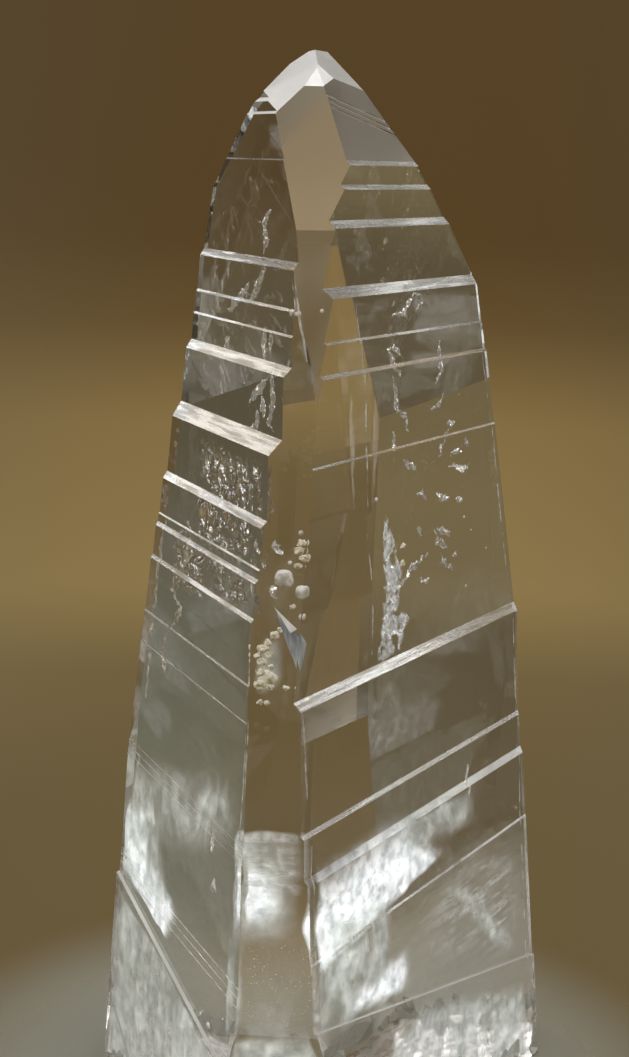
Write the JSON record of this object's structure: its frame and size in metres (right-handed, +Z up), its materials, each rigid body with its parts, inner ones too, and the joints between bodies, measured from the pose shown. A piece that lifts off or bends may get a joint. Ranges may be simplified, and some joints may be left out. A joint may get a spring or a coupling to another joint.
{
  "type": "quartz crystal",
  "caption": "Clear natural quartz crystal: a stout six-sided point that tapers in plates and sloping growth ledges to a pale worn tip, and stands on a flat broken base.",
  "frame": {"origin": "where the crystal's long axis meets its flat base", "axes": "+Z up the long axis towards the tip, -Y out of the narrow front face"},
  "size_m": [0.1013, 0.1006, 0.2268],
  "materials": {
    "quartz": "clear colourless quartz with bright flat faces, fine cross striations and a frosted, broken foot"
  },
  "bodies": {
    "root": {"crystal": "quartz"}
  },
  "joints": []
}
